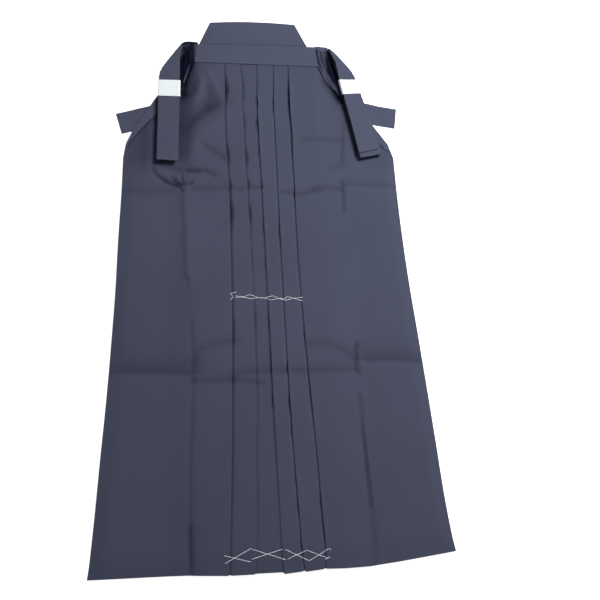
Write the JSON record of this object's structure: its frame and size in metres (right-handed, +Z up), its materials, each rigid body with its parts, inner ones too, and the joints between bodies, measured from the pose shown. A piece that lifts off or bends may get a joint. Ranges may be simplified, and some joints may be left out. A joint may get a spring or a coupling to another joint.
{
  "type": "hakama trousers",
  "caption": "Pleated hakama trousers laid flat, front side up, with a stiff back board, side openings, folded front ties held by paper bands, and back ties showing at the sides.",
  "frame": {"origin": "on the surface that the garment lies on, under the middle of its bounding box", "axes": "+Z up from the surface, through the front of the garment; +Y from the hem to the waist; +X to the wearer's left"},
  "size_m": [0.629, 1.082, 0.0206],
  "materials": {
    "navy_cloth": "soft satin twill",
    "white_paper": "matte paper"
  },
  "bodies": {
    "root": {"back_board": "navy_cloth", "back_inner_left": "navy_cloth", "back_inner_right": "navy_cloth", "back_outer_left": "navy_cloth", "back_outer_right": "navy_cloth", "back_tie_left": "navy_cloth", "back_tie_right": "navy_cloth", "front_band": "navy_cloth", "front_inner_left": "navy_cloth", "front_inner_right": "navy_cloth", "front_outer_left": "navy_cloth", "front_outer_right": "navy_cloth", "front_tie_left": "navy_cloth", "front_tie_right": "navy_cloth", "paper_band_left": "white_paper", "paper_band_right": "white_paper", "side_fold_left": "navy_cloth", "side_fold_right": "navy_cloth"}
  },
  "joints": []
}
